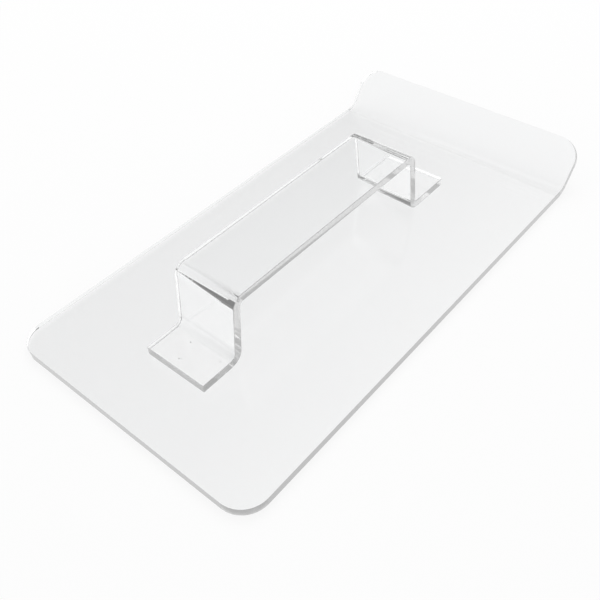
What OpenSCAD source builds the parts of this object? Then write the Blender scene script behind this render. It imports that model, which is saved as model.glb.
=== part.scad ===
// Icing smoother made of clear acrylic sheet.
// A flat plate, line-bent at its far end into a leaning lip, carries a strap
// handle that is bent from a strip of the same sheet and cemented on by its
// two feet.
//
// X runs across the plate, with 0 on its centreline.
// Y runs along the plate, with the straight smoothing edge at the low end and
// the lip at the high end.
// Z is up, with 0 on the smoothing face underneath.
// Lengths are in millimetres and angles in degrees.

/* [Sheet] */
// Thickness of the sheet that the plate and the handle are made of
sheet_t = 3; // [2:0.5:4]
// Inside radius of the bend between plate and lip
plate_bend_r = 3.5; // [2:0.5:5]
// Inside radius of the four bends in the handle
handle_bend_r = 1.5; // [1:0.25:3]

/* [Smoothing plate] */
// Width of the plate
plate_w = 100; // [80:1:150]
// Overall length, from the smoothing edge to the outermost edge of the lip
plate_l = 190; // [185:1:240]
// Radius of the two corners at the smoothing edge
front_corner_r = 9; // [4:0.5:14]

/* [Lip] */
// Height of the lip above the smoothing face
lip_h = 18; // [16:0.5:30]
// Angle between the plate and the lip's slope, where 90 would stand upright
lip_angle = 56; // [40:1:85]
// Radius of the two top corners of the lip
lip_corner_r = 8.5; // [3:0.5:9]

/* [Handle] */
// Width of the handle strip
handle_w = 24.5; // [20:0.5:40]
// Length of the handle over both feet
handle_l = 129; // [115:1:135]
// Distance from the smoothing edge to the end of the front foot
handle_start = 23; // [15:1:28]
// Height of the handle's top above the smoothing face
handle_h = 29; // [24:0.5:40]
// Length of the front foot, to where the middles of foot and riser meet
front_foot_l = 15; // [12:0.5:20]
// Length of the rear foot, to where the middles of foot and riser meet
rear_foot_l = 19.5; // [12:0.5:22]
// Lean of the front riser towards the middle of the grip
front_lean = 5.5; // [0:0.5:12]
// Lean of the rear riser towards the middle of the grip
rear_lean = 8; // [0:0.5:12]

/* [Cement] */
// Thickness of the cement layer under each foot
bond_t = 0.1; // [0.05:0.05:0.2]
// How far the cement stops short of the foot's side and end edges
bond_inset = 0.4; // [0:0.1:1]
// Corner radius of the cement layer
bond_corner_r = 1.6; // [0.5:0.1:3]
// How far the cement is drawn in under the bend by its own surface tension
bond_creep = 1.2; // [0.5:0.1:1.6]
// Radius of the cement's hollow free surface, as a share of the gap there
bond_hollow = 0.6; // [0.55:0.05:1]

/* [Hidden] */
$fa = 3;
$fs = 0.2;

// How far cutting and filling bodies reach past the surface they work on
eps = 1;

// How much larger each round is drawn round its own axis, so that it crosses
// the flat faces in a clean line where it would otherwise only touch them
ease = 0.004;

// Radius of the handle's bends, measured at the middle of the strip
handle_bend_mid_r = handle_bend_r + sheet_t / 2;

// Heights of the middle of the plate, the feet and the grip
plate_mid_z = sheet_t / 2;
foot_mid_z = sheet_t + bond_t + sheet_t / 2;
grip_mid_z = handle_h - sheet_t / 2;

// Y of the smoothing edge, which leaves the origin half way along the plate
front_y = -plate_l / 2;

// Slope length of the lip, from the point where the middles of plate and lip
// would meet to the middle of the lip's top edge
lip_slope = (lip_h - plate_mid_z - cos(lip_angle) * sheet_t / 2) / sin(lip_angle);
// Y of that meeting point
lip_corner_y = plate_l / 2 - lip_slope * cos(lip_angle) - sin(lip_angle) * sheet_t / 2;
// Middle of the lip's top edge
lip_top = [
    lip_corner_y + lip_slope * cos(lip_angle),
    plate_mid_z + lip_slope * sin(lip_angle)
];

// The middle of the plate's sheet seen from the side, as Y and Z, with a sharp
// corner in place of the bend
plate_path = [[front_y, plate_mid_z], [lip_corner_y, plate_mid_z], lip_top];

// Y of the handle's two ends, and of the corners below and above each riser
handle_front_y = front_y + handle_start;
handle_rear_y = handle_front_y + handle_l;
rise = grip_mid_z - foot_mid_z;
front_low_y = handle_front_y + front_foot_l;
front_high_y = front_low_y + rise * tan(front_lean);
rear_low_y = handle_rear_y - rear_foot_l;
rear_high_y = rear_low_y - rise * tan(rear_lean);

// The middle of the handle's strip, seen and drawn the same way
handle_path = [
    [handle_front_y, foot_mid_z],
    [front_low_y, foot_mid_z],
    [front_high_y, grip_mid_z],
    [rear_high_y, grip_mid_z],
    [rear_low_y, foot_mid_z],
    [handle_rear_y, foot_mid_z]
];

// Length of each foot that is flat, from its end to where its bend begins
front_flat_l = front_foot_l - handle_bend_mid_r * tan((90 - front_lean) / 2);
rear_flat_l = rear_foot_l - handle_bend_mid_r * tan((90 - rear_lean) / 2);

// Direction of a path's straight run i, of length 1
function heading(path, i) = (path[i + 1] - path[i]) / norm(path[i + 1] - path[i]);

// What lies to the left of a direction
function left_of(v) = [-v[1], v[0]];

// Where two lines cross that run beside a path's corner i, at distance d to
// its left
function beside_corner(path, i, d) =
    let (a = left_of(heading(path, i - 1)), b = left_of(heading(path, i)))
    path[i] + d * (a + b) / (1 + a * b);

// The same for any point of a path, its two ends included
function beside(path, i, d) =
    i == 0 ? path[i] + d * left_of(heading(path, i)) :
    i == len(path) - 1 ? path[i] + d * left_of(heading(path, i - 1)) :
    beside_corner(path, i, d);

// Outline of a sheet whose middle follows a path, with sharp corners
function sharp_outline(path) = concat(
    [for (i = [0 : len(path) - 1]) beside(path, i, sheet_t / 2)],
    [for (i = [len(path) - 1 : -1 : 0]) beside(path, i, -sheet_t / 2)]
);

// Angle by which a path turns at corner i, above zero to the left
function turn_at(path, i) =
    let (a = heading(path, i - 1), b = heading(path, i))
    atan2(a[0] * b[1] - a[1] * b[0], a * b);

// Places children at the centre of the bend at a path's corner i, turned so
// that the sheet comes in along +X below it and bends upwards
module at_bend(path, i, mid_r) {
    a = heading(path, i - 1);
    side = sign(turn_at(path, i));
    translate(concat(beside_corner(path, i, side * mid_r), 0))
        rotate(atan2(a[1], a[0])) mirror([0, side < 0 ? 1 : 0, 0]) children();
}

// What lies between a bend of radius r round the Z axis and the sharp corner
// of the two faces that it joins, and a little way past those faces
module corner_wedge(r, turn, h) {
    reach = r + eps;
    linear_extrude(height = h, center = true) difference() {
        polygon([
            [0, 0],
            [0, -reach],
            [reach * tan(turn / 2), -reach],
            [reach * sin(turn), -reach * cos(turn)]
        ]);
        circle(r = r + ease);
    }
}

// A bent sheet of width w, centred on X. A blank with sharp corners and some
// width to spare has the inside of each bend filled and its outside cut away,
// to two rounds on one axis, and is then trimmed to its width.
module bent_sheet(path, inner_r, w) {
    outer_r = inner_r + sheet_t;
    mid_r = inner_r + sheet_t / 2;
    bends = [1 : len(path) - 2];
    blank_w = w + 2 * eps;
    stood_across() intersection() {
        difference() {
            union() {
                linear_extrude(height = blank_w, center = true)
                    polygon(sharp_outline(path));
                for (i = bends) at_bend(path, i, mid_r)
                    corner_wedge(inner_r, abs(turn_at(path, i)), blank_w);
            }
            for (i = bends) at_bend(path, i, mid_r)
                corner_wedge(outer_r, abs(turn_at(path, i)), blank_w + 2 * eps);
        }
        cube([2 * plate_l, 2 * plate_l, w], center = true);
    }
}

// Stands a body that is drawn from the side up across the plate: its X becomes
// Y, its Y becomes Z and its thickness lies along X
module stood_across() {
    rotate([90, 0, 90]) children();
}

// Body that rounds a square corner of the sheet: what lies between the corner
// at the origin, with the sheet towards -X and -Y, and a circle of radius r
module corner_waste(r) {
    linear_extrude(height = 4 * sheet_t, center = true)
        translate([-r, -r]) difference() {
            square(r + eps);
            circle(r = r + ease);
        }
}

// Repeats children on the left and the right edge of the plate
module on_both_sides() {
    for (side = [0, 1]) mirror([side, 0, 0]) translate([plate_w / 2, 0, 0]) children();
}

// Plate and lip in one bent sheet, with its four corners rounded
module smoothing_plate() {
    color([0.94, 0.96, 0.97, 0.35]) difference() {
        bent_sheet(plate_path, plate_bend_r, plate_w);
        on_both_sides() translate([0, front_y, 0]) mirror([0, 1, 0])
            corner_waste(front_corner_r);
        translate([0, lip_top[0], lip_top[1]]) rotate([lip_angle, 0, 0]) on_both_sides()
            corner_waste(lip_corner_r);
    }
}

// Strap handle in one bent strip: foot, riser, grip, riser and foot
module handle() {
    color([0.94, 0.96, 0.97, 0.35]) bent_sheet(handle_path, handle_bend_r, handle_w);
}

// Outline of a cement layer seen from above, with the foot's free end at Y = 0
// and its bend at Y = flat_l: the two free corners are drawn round
module bond_outline(flat_l, w) {
    translate([-w / 2, bond_inset + bond_corner_r])
        square([w, flat_l - bond_inset - bond_corner_r]);
    translate([-w / 2 + bond_corner_r, bond_inset])
        square([w - 2 * bond_corner_r, flat_l / 2]);
    for (side = [-1, 1])
        translate([side * (w / 2 - bond_corner_r), bond_inset + bond_corner_r])
            circle(r = bond_corner_r);
}

// Side view of the cement in the wedge under a bend. The flat foot ends at
// X = 0, where the sheet's underside starts to rise round the bend, and the
// cement's free surface is a small hollow curve.
module creep_view() {
    outside_r = handle_bend_r + sheet_t;
    gap = bond_t + outside_r - sqrt(outside_r * outside_r - bond_creep * bond_creep);
    hollow_r = gap * bond_hollow;
    difference() {
        translate([-bond_creep, 0]) square([2 * bond_creep, gap]);
        translate([-bond_creep, bond_t]) square([bond_creep, gap]);
        translate([0, bond_t + outside_r]) circle(r = outside_r);
        translate([bond_creep + hollow_r / 2, gap / 2]) circle(r = hollow_r);
    }
}

// One cement layer on the plate, with the foot's free end at Y = 0
module bond(flat_l) {
    w = handle_w - 2 * bond_inset;
    color([0.96, 0.97, 0.96, 0.3]) translate([0, 0, sheet_t]) {
        linear_extrude(height = bond_t) bond_outline(flat_l, w);
        translate([0, flat_l, 0]) stood_across()
            linear_extrude(height = w, center = true) creep_view();
    }
}

// Cement under the front foot
module front_bond() {
    translate([0, handle_front_y, 0]) bond(front_flat_l);
}

// Cement under the rear foot, which points the other way
module rear_bond() {
    translate([0, handle_rear_y, 0]) mirror([0, 1, 0]) bond(rear_flat_l);
}

smoothing_plate();
handle();
front_bond();
rear_bond();
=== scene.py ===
"""Looks of a clear acrylic icing smoother, dressed round its fixed frame.

The plate with its lip, the strap handle and the two cement layers keep the
shapes of the frame. This script gives them their clear finishes, and adds the
floor, the soft light and the camera. All lengths are in metres.
"""

import logging
import math
from dataclasses import dataclass
from enum import Enum
from typing import Any, Union

import bpy
from mathutils import Matrix, Vector


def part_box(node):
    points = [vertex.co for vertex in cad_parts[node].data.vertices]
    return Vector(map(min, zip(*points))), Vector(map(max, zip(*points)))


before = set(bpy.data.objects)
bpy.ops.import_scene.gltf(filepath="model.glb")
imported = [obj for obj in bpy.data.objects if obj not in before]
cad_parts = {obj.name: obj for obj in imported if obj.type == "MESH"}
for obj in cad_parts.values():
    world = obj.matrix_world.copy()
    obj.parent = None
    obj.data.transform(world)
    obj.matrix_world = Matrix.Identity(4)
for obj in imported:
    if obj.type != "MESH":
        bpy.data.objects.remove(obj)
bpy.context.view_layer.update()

LOG = logging.getLogger("icing_smoother")
MM = 0.001

Triple = tuple[float, float, float]
Corners = tuple[Vector, Vector]
Stops = tuple[tuple[float, float], ...]
Number = Union[float, "Signal"]


class Sheet(Enum):
    """The pieces that are bent from clear sheet."""

    PLATE = "smoothing_plate"
    HANDLE = "handle"


class Cement(Enum):
    """The two cement layers."""

    FRONT = "front_bond"
    REAR = "rear_bond"


class Signal:
    """A number that varies over a surface, with the usual operators."""

    def __init__(self, paint: "Paint", socket: bpy.types.NodeSocket) -> None:
        """Wraps a socket.

        Args:
            paint: The tree that the socket belongs to.
            socket: The output that carries the number.
        """
        self.paint = paint
        self.socket = socket

    def _math(self, operation: str, *values: Number) -> "Signal":
        """Adds a Math node.

        Args:
            operation: The node's operation.
            values: Its inputs in order.

        Returns:
            The node's result.
        """
        sockets = dict(enumerate(values))
        return self.paint.node("ShaderNodeMath", {"operation": operation}, sockets).out()

    def __add__(self, other: Number) -> "Signal":
        """Sum."""
        return self._math("ADD", self, other)

    def __radd__(self, other: float) -> "Signal":
        """Sum with a plain number on the left."""
        return self._math("ADD", other, self)

    def __rsub__(self, other: float) -> "Signal":
        """Difference from a plain number on the left."""
        return self._math("SUBTRACT", other, self)

    def __mul__(self, other: Number) -> "Signal":
        """Product."""
        return self._math("MULTIPLY", self, other)

    def __rmul__(self, other: float) -> "Signal":
        """Product with a plain number on the left."""
        return self._math("MULTIPLY", other, self)

    def __gt__(self, other: Number) -> "Signal":
        """1 where it is above the other, else 0."""
        return self._math("GREATER_THAN", self, other)

    def __lt__(self, other: Number) -> "Signal":
        """1 where it is below the other, else 0."""
        return self._math("LESS_THAN", self, other)

    def __abs__(self) -> "Signal":
        """Distance from zero."""
        return self._math("ABSOLUTE", self)

    def between(self, low: float, high: float) -> "Signal":
        """1 inside a range, else 0.

        Args:
            low: Lower end of the range.
            high: Upper end of the range.

        Returns:
            The mask.
        """
        return (self > low) * (self < high)

    def near(self, level: float, reach: float) -> "Signal":
        """1 close to a level, else 0.

        Args:
            level: The level.
            reach: How far the mask reaches to either side.

        Returns:
            The mask.
        """
        return self.between(level - reach, level + reach)


class Step:
    """One node of a material."""

    def __init__(self, paint: "Paint", node: bpy.types.Node) -> None:
        """Keeps the node with its tree."""
        self.paint = paint
        self.node = node

    def out(self, name: Union[str, int] = 0) -> Signal:
        """The node's output of that name or place."""
        return Signal(self.paint, self.node.outputs[name])


class Paint:
    """A material's node tree, or the world's, built from empty."""

    # Places of a Mix node's colour sockets, which share their names with others
    MIX_FACTOR = 0
    MIX_FIRST = 6
    MIX_SECOND = 7
    MIX_RESULT = 2

    def __init__(self, owner: Union[bpy.types.Material, bpy.types.World]) -> None:
        """Empties the tree.

        Args:
            owner: The material or world that is painted.
        """
        owner.use_nodes = True
        self.tree = owner.node_tree
        self.tree.nodes.clear()

    def node(self, kind: str, settings: dict[str, Any], sockets: dict[Any, Any]) -> Step:
        """Adds a node.

        Args:
            kind: The node's type.
            settings: Its properties, set first.
            sockets: Values or signals for its inputs, by name or place.

        Returns:
            The new node.
        """
        made = self.tree.nodes.new(kind)
        for name, value in settings.items():
            if name == "stops":
                self._set_stops(made, value)
            else:
                setattr(made, name, value)
        for name, value in sockets.items():
            if isinstance(value, Signal):
                self.tree.links.new(value.socket, made.inputs[name])
            else:
                made.inputs[name].default_value = value
        return Step(self, made)

    @staticmethod
    def _set_stops(ramp: bpy.types.Node, stops: Stops) -> None:
        """Sets a ramp's grey stops.

        Args:
            ramp: The Color Ramp node.
            stops: Places and grey levels, from left to right.
        """
        elements = ramp.color_ramp.elements
        while len(elements) < len(stops):
            elements.new(0.5)
        for element, (place, grey) in zip(elements, stops):
            element.position = place
            element.color = (grey, grey, grey, 1.0)

    def place(self) -> tuple[Signal, Signal, Signal, Signal]:
        """Where a point of the piece is.

        Returns:
            The whole vector, then its X, Y and Z.
        """
        vector = self.node("ShaderNodeTexCoord", {}, {}).out("Object")
        parts = self.node("ShaderNodeSeparateXYZ", {}, {0: vector})
        return vector, parts.out("X"), parts.out("Y"), parts.out("Z")

    def noise(self, where: Signal, grain: Triple, detail: float) -> Signal:
        """Cloudy variation.

        Args:
            where: The point that it is read at.
            grain: How many features fit in a metre along each axis.
            detail: How many finer layers lie on the first.

        Returns:
            A number from 0 to 1.
        """
        scaled = self.node("ShaderNodeMapping", {}, {"Vector": where, "Scale": grain}).out()
        sockets = {"Vector": scaled, "Scale": 1.0, "Detail": detail}
        return self.node("ShaderNodeTexNoise", {}, sockets).out(0)

    def cells(self, where: Signal, scale: float) -> Signal:
        """Distance to the nearest of many scattered points.

        Args:
            where: The point that it is read at.
            scale: How many cells fit in a metre.

        Returns:
            0 on a point, rising to about 1 between the points.
        """
        return self.node("ShaderNodeTexVoronoi", {}, {"Vector": where, "Scale": scale}).out("Distance")

    def ramp(self, value: Signal, stops: Stops) -> Signal:
        """Reads a value off a line of stops.

        Args:
            value: The number from 0 to 1.
            stops: Places and results.

        Returns:
            The result.
        """
        return self.node("ShaderNodeValToRGB", {"stops": stops}, {0: value}).out(0)

    def mix(self, share: Signal, first: Triple, second: Triple) -> Signal:
        """Mixes two colours.

        Args:
            share: 0 for the first colour, 1 for the second.
            first: A colour.
            second: Another colour.

        Returns:
            The mixed colour.
        """
        sockets = {
            self.MIX_FACTOR: share,
            self.MIX_FIRST: (*first, 1.0),
            self.MIX_SECOND: (*second, 1.0),
        }
        return self.node("ShaderNodeMix", {"data_type": "RGBA"}, sockets).out(self.MIX_RESULT)

    def bump(self, height: Signal, distance: float, strength: float) -> Signal:
        """Turns a height into a normal.

        Args:
            height: Height from 0 to 1.
            distance: Real height of 1, in metres.
            strength: Share of the effect.

        Returns:
            The normal.
        """
        sockets = {"Height": height, "Distance": distance, "Strength": strength}
        return self.node("ShaderNodeBump", {}, sockets).out()

    def clear(self, sockets: dict[str, Any]) -> None:
        """Ends a material in a clear, refracting surface.

        Args:
            sockets: What the surface's inputs are set or linked to.
        """
        shader = self.node("ShaderNodeBsdfPrincipled", {}, {"Transmission Weight": 1.0, **sockets})
        self.node("ShaderNodeOutputMaterial", {}, {"Surface": shader.out()})

    def seen(self) -> Signal:
        """1 for rays from the camera, from gloss and through clear pieces, else 0."""
        path = self.node("ShaderNodeLightPath", {}, {})
        total = path.out("Is Camera Ray") + path.out("Is Glossy Ray") + path.out("Is Transmission Ray")
        return total > 0.5


@dataclass(frozen=True)
class ClearAcrylic:
    """Cast acrylic sheet: clear, glossy faces and duller cut edges.

    The faces have broad, faint waves, and scuffs that run along the plate
    where patches of haze lie. The cut edges have fine saw marks across them,
    and their colour is darkened as painted shade. The whole sheet carries a
    faint painted glow, though it is no lamp, and the cut edges a stronger
    painted glow, weak at the left edge.
    """

    name: str
    low: Vector
    high: Vector
    lip_angle: float | None = None
    tint: Triple = (0.932, 0.936, 0.938)
    ior: float = 1.49
    face_roughness: float = 0.012
    scuff_roughness: float = 0.02
    scuff_grain: Triple = (900.0, 60.0, 900.0)
    haze_grain: Triple = (35.0, 22.0, 35.0)
    haze_stops: Stops = ((0.45, 0.0), (0.75, 1.0))
    wave_grain: Triple = (28.0, 18.0, 28.0)
    wave_height: float = 0.02 * MM
    wave_strength: float = 0.6
    edge_roughness: float = 0.148
    edge_depth: float = 0.15 * MM
    # Painted shade: the share of the tint left at the cut edges, which darkens them.
    edge_shade: float = 0.36
    saw_grain: Triple = (200.0, 2600.0, 200.0)
    saw_relief: float = 0.5
    lip_start: float = 8.0 * MM
    steep: float = 0.5
    # Painted glow, though the sheet is no lamp: its strength, the faint glow of the whole sheet, the
    # stronger glow of the cut edges and the share kept at the left edge.
    glow: float = 0.5
    painted_face_glow: float = 0.07
    painted_edge_glow: float = 0.5
    painted_glow_left_share: float = 0.1
    speck_scale: float = 420.0
    speck_size: float = 0.16
    patch_grain: Triple = (160.0, 160.0, 160.0)
    patch_level: float = 0.56

    def make(self, layers: list[Corners], face: float, reach: float) -> bpy.types.Material:
        """Builds the material.

        Args:
            layers: Boxes of the cement layers that this sheet touches.
            face: Height of the sheet's face that lies in cement.
            reach: How far above and below that height a point counts as on it.

        Returns:
            The material.
        """
        material = bpy.data.materials.new(self.name)
        paint = Paint(material)
        where, x, y, z = paint.place()
        edge = self._cut_edge(paint, x, y, z)
        scuffs = paint.noise(where, self.scuff_grain, 3.0)
        haze = paint.ramp(paint.noise(where, self.haze_grain, 2.0), self.haze_stops)
        saw_marks = paint.noise(where, self.saw_grain, 1.0)
        waves = paint.noise(where, self.wave_grain, 1.0)
        smooth = self.face_roughness + self.scuff_roughness * haze * scuffs
        height = waves + edge * saw_marks * self.saw_relief
        specks = paint.cells(where, self.speck_scale) < self.speck_size
        dry = specks * (paint.noise(where, self.patch_grain, 1.0) > self.patch_level)
        wet = z.near(face, reach) * self._under_feet(x, y, layers)
        paint.clear({
            # Base colour: the sheet's tint, with painted shade darkening its cut edges.
            "Base Color": paint.mix(edge, self.tint, self._painted_edge_shade_tint()),
            "IOR": self.ior,
            "Roughness": smooth + edge * self.edge_roughness * saw_marks,
            "Normal": paint.bump(height, self.wave_height, self.wave_strength),
            "Alpha": 1.0 - wet * (1.0 - dry),
            # Painted glow: faint over the whole sheet, stronger at the cut edges, weak at the left
            # edge.
            "Emission Color": self.painted_face_glow + edge * self.painted_edge_glow * self._painted_glow_away_from_left(x),
            "Emission Strength": self.glow,
        })
        return material

    def _painted_edge_shade_tint(self) -> Triple:
        """Painted shade: the sheet's tint darkened at its cut edges."""
        return tuple(part * self.edge_shade for part in self.tint)

    def _painted_glow_away_from_left(self, x: Signal) -> Signal:
        """Share of the painted edge glow: a small share at the left edge, all elsewhere.

        Args:
            x: Place across the plate.

        Returns:
            The share.
        """
        away = x > self.low.x + self.edge_depth
        return self.painted_glow_left_share + (1.0 - self.painted_glow_left_share) * away

    def _cut_edge(self, paint: Paint, x: Signal, y: Signal, z: Signal) -> Signal:
        """Where the sheet was cut: by place on a strip, by facing where there is a lip.

        Args:
            paint: The material's tree.
            x: Place across the plate.
            y: Place along the plate.
            z: Height.

        Returns:
            1 there, else 0.
        """
        if self.lip_angle is None:
            ends = (y < self.low.y + self.edge_depth) + (y > self.high.y - self.edge_depth)
            return (ends + (abs(x) > self.high.x - self.edge_depth)) > 0.5
        facing = paint.node("ShaderNodeNewGeometry", {}, {}).out("True Normal")
        parts = paint.node("ShaderNodeSeparateXYZ", {}, {0: facing})
        across, ahead, up = parts.out("X"), parts.out("Y"), parts.out("Z")
        front = (ahead < -self.steep) * (z < self.lip_start) * (y < 0.0)
        upwards = ahead * math.cos(self.lip_angle) + up * math.sin(self.lip_angle)
        top = (upwards > self.steep) * (z > self.lip_start)
        return (front + (abs(across) > self.steep) + top) > 0.5

    @staticmethod
    def _under_feet(x: Signal, y: Signal, layers: list[Corners]) -> Signal:
        """Where cement lies, seen from above.

        Args:
            x: Place across the plate.
            y: Place along the plate.
            layers: Boxes of the cement layers.

        Returns:
            1 there, else 0.
        """
        front, rear = [x.between(a.x, b.x) * y.between(a.y, b.y) for a, b in layers]
        return front + rear


@dataclass(frozen=True)
class ClearCement:
    """Set solvent cement: clear, a little cloudy, with fine bubbles at its rim."""

    name: str = "clear_cement"
    tint: Triple = (0.97, 0.975, 0.975)
    ior: float = 1.48
    roughness: float = 0.05
    cloud_roughness: float = 0.1
    cloud_grain: Triple = (700.0, 700.0, 700.0)
    bubble_scale: float = 1500.0
    bubble_height: float = 0.03 * MM
    bubble_strength: float = 0.7
    joint_reach: float = 0.004 * MM

    def make(self, plate_top: float, foot_low: float) -> bpy.types.Material:
        """Builds the material, with no surface where it meets the sheets.

        Args:
            plate_top: Height of the plate's face that the cement lies on.
            foot_low: Height of the foot's underside.

        Returns:
            The material.
        """
        material = bpy.data.materials.new(self.name)
        paint = Paint(material)
        where, _x, _y, z = paint.place()
        joined = z.near(plate_top, self.joint_reach) + z.near(foot_low, self.joint_reach)
        bubbles = paint.cells(where, self.bubble_scale)
        cloud = paint.noise(where, self.cloud_grain, 2.0)
        paint.clear({
            "Base Color": (*self.tint, 1.0),
            "IOR": self.ior,
            "Roughness": self.roughness + self.cloud_roughness * cloud,
            "Normal": paint.bump(bubbles, self.bubble_height, self.bubble_strength),
            "Alpha": 1.0 - joined,
        })
        return material


@dataclass(frozen=True)
class Smoother:
    """The tool itself: plate, handle and the cement between them."""

    lip_angle: float = math.radians(56.0)
    strip_tint: Triple = (0.972, 0.975, 0.976)
    joint_reach: float = 0.02 * MM
    weld_gap: float = 0.001 * MM
    bevel: float = 0.22 * MM
    bevel_steps: int = 2
    bevel_angle: float = math.radians(30.0)

    def dress(self) -> None:
        """Gives every piece its finish, and the sheets their eased edges."""
        layers = [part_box(layer.value) for layer in Cement]
        plate_top = layers[0][0].z
        foot_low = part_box(Sheet.HANDLE.value)[0].z
        plate = ClearAcrylic("clear_acrylic_plate", *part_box(Sheet.PLATE.value), self.lip_angle)
        strip = ClearAcrylic("clear_acrylic_strip", *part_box(Sheet.HANDLE.value), tint=self.strip_tint)
        self._finish(Sheet.PLATE.value, plate.make(layers, plate_top, self.joint_reach))
        self._finish(Sheet.HANDLE.value, strip.make(layers, foot_low, self.joint_reach))
        cement = ClearCement().make(plate_top, foot_low)
        for layer in Cement:
            self._finish(layer.value, cement)
        for sheet in Sheet:
            self._ease(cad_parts[sheet.value])

    @staticmethod
    def _finish(name: str, material: bpy.types.Material) -> None:
        """Puts a material on a piece.

        Args:
            name: The piece's name.
            material: Its finish.
        """
        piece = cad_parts[name]
        piece.data.materials.clear()
        piece.data.materials.append(material)
        LOG.info("%s wears %s", name, material.name)

    def _ease(self, piece: bpy.types.Object) -> None:
        """Rounds the cut edges of a sheet a little, as scraping and polishing leave them.

        Args:
            piece: The sheet.
        """
        weld = piece.modifiers.new("weld", "WELD")
        weld.merge_threshold = self.weld_gap
        eased = piece.modifiers.new("eased_edges", "BEVEL")
        eased.width = self.bevel
        eased.segments = self.bevel_steps
        eased.limit_method = "ANGLE"
        eased.angle_limit = self.bevel_angle
        eased.harden_normals = True
        LOG.info("%s has eased edges", piece.name)


@dataclass(frozen=True)
class Studio:
    """Pale floor, soft light and the camera.

    What gloss and clear pieces show of the room is darker low down, on the
    left and at the front, which draws the sheets' outlines.
    """

    floor_half: float = 3.0
    floor_drop: float = 0.2 * MM
    floor_glow: float = 0.85
    floor_grey: float = 0.92
    ambient: float = 0.9
    room_by_height: Stops = ((0.0, 0.62), (0.35, 0.8), (0.7, 1.0))
    room_by_side: Stops = ((0.14, 0.0), (0.26, 0.3), (0.38, 1.0))
    room_by_length: Stops = ((0.25, 0.15), (0.6, 1.1))
    lamp_power: float = 3.6
    lamp_size: float = 0.7
    lamp_place: Triple = (-0.35, 0.45, 0.8)
    focal_px: float = 740.9
    photo_px: float = 600.0
    film_width: float = 36.0
    nearest: float = 0.01
    eye: Triple = (0.12443, -0.15363, 0.17662)
    aim: Triple = (0.00767, -0.02268, 0.0)
    roll: float = math.radians(-2.48)

    def camera(self) -> None:
        """Stands the camera where the photograph was taken from."""
        data = bpy.data.cameras.new("camera")
        data.sensor_width = self.film_width
        data.lens = self.focal_px / self.photo_px * self.film_width
        data.clip_start = self.nearest
        camera = bpy.data.objects.new("camera", data)
        bpy.context.scene.collection.objects.link(camera)
        ahead = Vector(self.aim) - Vector(self.eye)
        turn = ahead.to_track_quat("-Z", "Y").to_matrix().to_4x4()
        tilt = Matrix.Rotation(self.roll, 4, "Z")
        camera.matrix_world = Matrix.Translation(self.eye) @ turn @ tilt
        bpy.context.scene.camera = camera

    def floor(self) -> None:
        """Lays a white floor that keeps a part of the shadow."""
        bpy.ops.object.select_all(action="DESELECT")
        bpy.ops.mesh.primitive_plane_add(size=2 * self.floor_half, location=(0, 0, -self.floor_drop))
        plane = bpy.context.object
        plane.name = "floor"
        material = bpy.data.materials.new("pale_floor")
        paint = Paint(material)
        grey = (self.floor_grey,) * 3 + (1.0,)
        lit = paint.node("ShaderNodeBsdfDiffuse", {}, {"Color": grey})
        white = {"Color": (1.0, 1.0, 1.0, 1.0), "Strength": 1.0}
        glow = paint.node("ShaderNodeEmission", {}, white)
        share = paint.seen() * self.floor_glow
        both = paint.node("ShaderNodeMixShader", {}, {0: share, 1: lit.out(), 2: glow.out()})
        paint.node("ShaderNodeOutputMaterial", {}, {"Surface": both.out()})
        plane.data.materials.append(material)

    def room(self) -> None:
        """Surrounds the tool with a pale room, which is white to the camera."""
        world = bpy.data.worlds.new("room")
        bpy.context.scene.world = world
        paint = Paint(world)
        direction = paint.node("ShaderNodeTexCoord", {}, {}).out("Generated")
        parts = paint.node("ShaderNodeSeparateXYZ", {}, {0: direction})
        by_height = paint.ramp(parts.out("Z"), self.room_by_height)
        by_side = paint.ramp(0.5 + 0.5 * parts.out("X"), self.room_by_side)
        by_length = paint.ramp(0.5 + 0.5 * parts.out("Y"), self.room_by_length)
        shown = by_height * by_side * by_length
        seen = paint.seen()
        camera = paint.node("ShaderNodeLightPath", {}, {}).out("Is Camera Ray")
        strength = camera + (1.0 - camera) * (seen * shown + (1.0 - seen) * self.ambient)
        glow = paint.node("ShaderNodeBackground", {}, {"Strength": strength})
        paint.node("ShaderNodeOutputWorld", {}, {"Surface": glow.out()})

    def lamp(self) -> None:
        """Hangs one soft lamp, aimed at the origin and not mirrored in the sheets."""
        data = bpy.data.lights.new("soft_lamp", "AREA")
        data.energy = self.lamp_power
        data.size = self.lamp_size
        lamp = bpy.data.objects.new("soft_lamp", data)
        bpy.context.scene.collection.objects.link(lamp)
        lamp.location = self.lamp_place
        lamp.rotation_euler = (-lamp.location).to_track_quat("-Z", "Y").to_euler()
        lamp.visible_glossy = False
        lamp.visible_transmission = False


def main() -> None:
    """Sets the camera, lays the floor, lights the room and dresses the tool."""
    logging.basicConfig(level=logging.INFO)
    bpy.context.scene.view_settings.view_transform = "Standard"
    studio = Studio()
    studio.camera()
    studio.floor()
    studio.room()
    studio.lamp()
    Smoother().dress()


if __name__ == "__main__":
    main()
